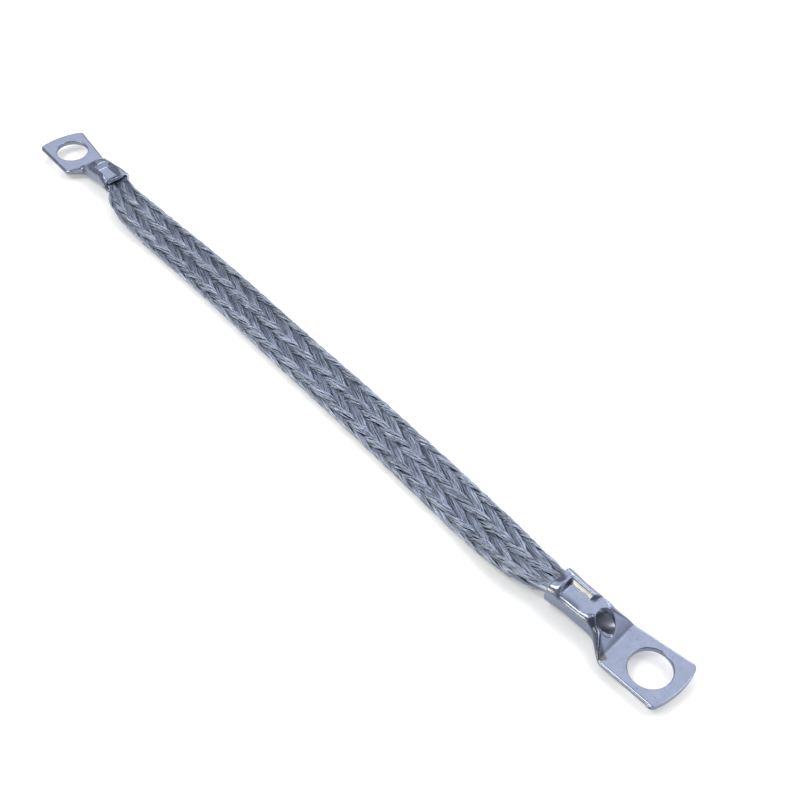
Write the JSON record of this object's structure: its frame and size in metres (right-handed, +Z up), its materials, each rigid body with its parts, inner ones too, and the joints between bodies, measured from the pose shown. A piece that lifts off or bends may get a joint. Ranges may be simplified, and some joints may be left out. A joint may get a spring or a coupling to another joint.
{
  "type": "flexible busbar braid",
  "caption": "Flat tinned copper braid link with a crimped tube lug on each end, each palm drilled for a bolt, used as a flexible earth or busbar connection.",
  "frame": {"origin": "middle of the bounding box's bottom, on the surface the link lies on", "axes": "+X along the link towards the near lug, +Y to the link's left, +Z up out of the palms"},
  "size_m": [0.2833, 0.0165, 0.0094],
  "materials": {
    "tinned_braid": "fine tinned copper wires, dull, woven",
    "tinned_lug": "tin plated copper tube, satin"
  },
  "bodies": {
    "root": {"braid": "tinned_braid", "near_lug": "tinned_lug", "far_lug": "tinned_lug"}
  },
  "joints": []
}
